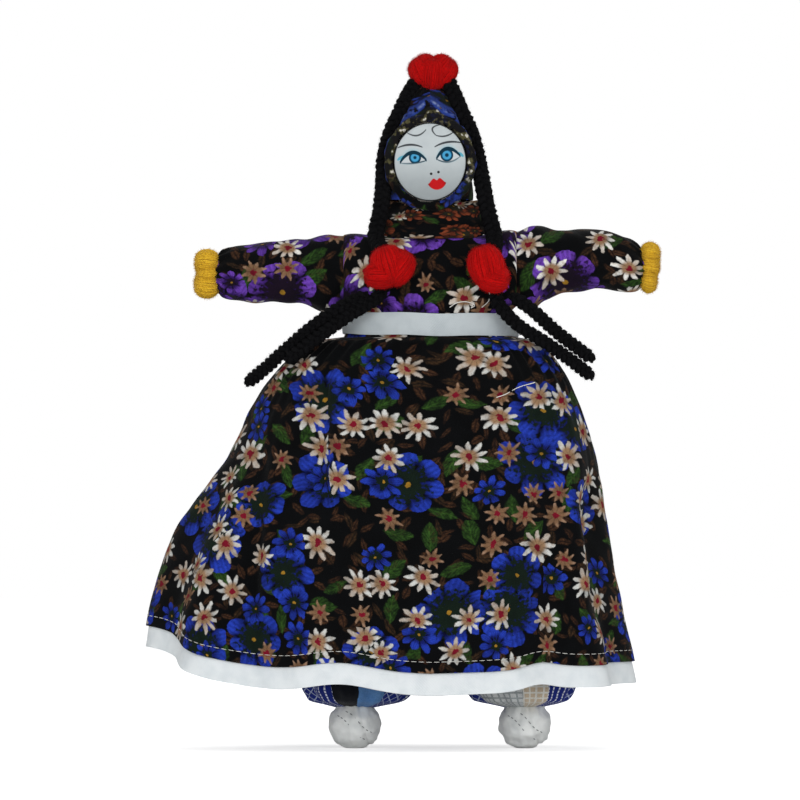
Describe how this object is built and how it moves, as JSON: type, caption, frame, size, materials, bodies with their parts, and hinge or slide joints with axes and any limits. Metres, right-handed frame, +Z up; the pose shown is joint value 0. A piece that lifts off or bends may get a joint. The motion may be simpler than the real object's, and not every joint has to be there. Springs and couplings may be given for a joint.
{
  "type": "cloth doll",
  "caption": "Stuffed folk doll of printed cotton with outstretched arms, a full skirt over baggy trousers, a scarf-wrapped painted face and yarn braids with pompoms.",
  "frame": {"origin": "on the floor, under the middle of the doll's width and depth", "axes": "+Z up through the crown, -Y the way the face looks, +X to the right as a viewer in front sees it"},
  "size_m": [0.188, 0.0964, 0.2503],
  "materials": {
    "skirt_print": "matt printed cotton, flowers on black",
    "bodice_print": "matt printed cotton, purple and white flowers on black",
    "trouser_print": "matt patched blue cotton",
    "white_tape": "matt white cotton tape",
    "white_cotton": "wrinkled white cotton",
    "face_cloth": "smooth white cotton with a drawn face",
    "black_yarn": "plaited wool",
    "red_yarn": "tufted wool",
    "yellow_yarn": "wound wool",
    "wadding": "loose cotton wadding",
    "thread": "wound cotton thread",
    "wood": "plain dowel",
    "wire": "soft annealed wire"
  },
  "bodies": {
    "torso": {"bodice": "bodice_print", "torso_stuffing": "wadding", "spine_stick": "wood", "arm_wire_middle": "wire", "wire_lashing": "thread", "waistband": "white_tape", "skirt": "skirt_print", "hem_band": "white_tape", "trouser_seat": "trouser_print", "hip_stuffing": "wadding", "braid_lower_left": "black_yarn", "braid_lower_right": "black_yarn", "chest_pompom_left": "red_yarn", "chest_pompom_right": "red_yarn", "braid_tail_outer_left": "black_yarn", "braid_tail_inner_left": "black_yarn", "braid_tail_outer_right": "black_yarn", "braid_tail_inner_right": "black_yarn"},
    "head": {"headscarf": "skirt_print", "head_stuffing": "wadding", "face_disc": "face_cloth", "neck_scarf": "skirt_print", "crown_pompom": "red_yarn", "braid_upper_left": "black_yarn", "braid_upper_right": "black_yarn"},
    "arm_left": {"sleeve_left": "bodice_print", "arm_stuffing_left": "wadding", "arm_wire_left": "wire", "hand_left": "yellow_yarn"},
    "arm_right": {"sleeve_right": "bodice_print", "arm_stuffing_right": "wadding", "arm_wire_right": "wire", "hand_right": "yellow_yarn"},
    "leg_left": {"trouser_leg_left": "trouser_print", "leg_stuffing_left": "wadding", "foot_left": "white_cotton"},
    "leg_right": {"trouser_leg_right": "trouser_print", "leg_stuffing_right": "wadding", "foot_right": "white_cotton"}
  },
  "joints": [
    {"name": "head_turn", "type": "hinge", "parent": "torso", "child": "head", "pos_m": [0.00825, 0, 0.185], "axis": [0, 0, 1], "range_deg": [-30, 30]},
    {"name": "arm_left_lift", "type": "hinge", "parent": "torso", "child": "arm_left", "pos_m": [-0.02775, 0, 0.172], "axis": [0, 1, 0], "range_deg": [-25, 40]},
    {"name": "arm_right_lift", "type": "hinge", "parent": "torso", "child": "arm_right", "pos_m": [0.04425, 0, 0.1743], "axis": [0, -1, 0], "range_deg": [-25, 40]},
    {"name": "leg_left_swing", "type": "hinge", "parent": "torso", "child": "leg_left", "pos_m": [-0.00975, 0, 0.112], "axis": [-1, 0, 0], "range_deg": [-10, 10]},
    {"name": "leg_right_swing", "type": "hinge", "parent": "torso", "child": "leg_right", "pos_m": [0.03025, 0, 0.112], "axis": [-1, 0, 0], "range_deg": [-10, 10]}
  ]
}
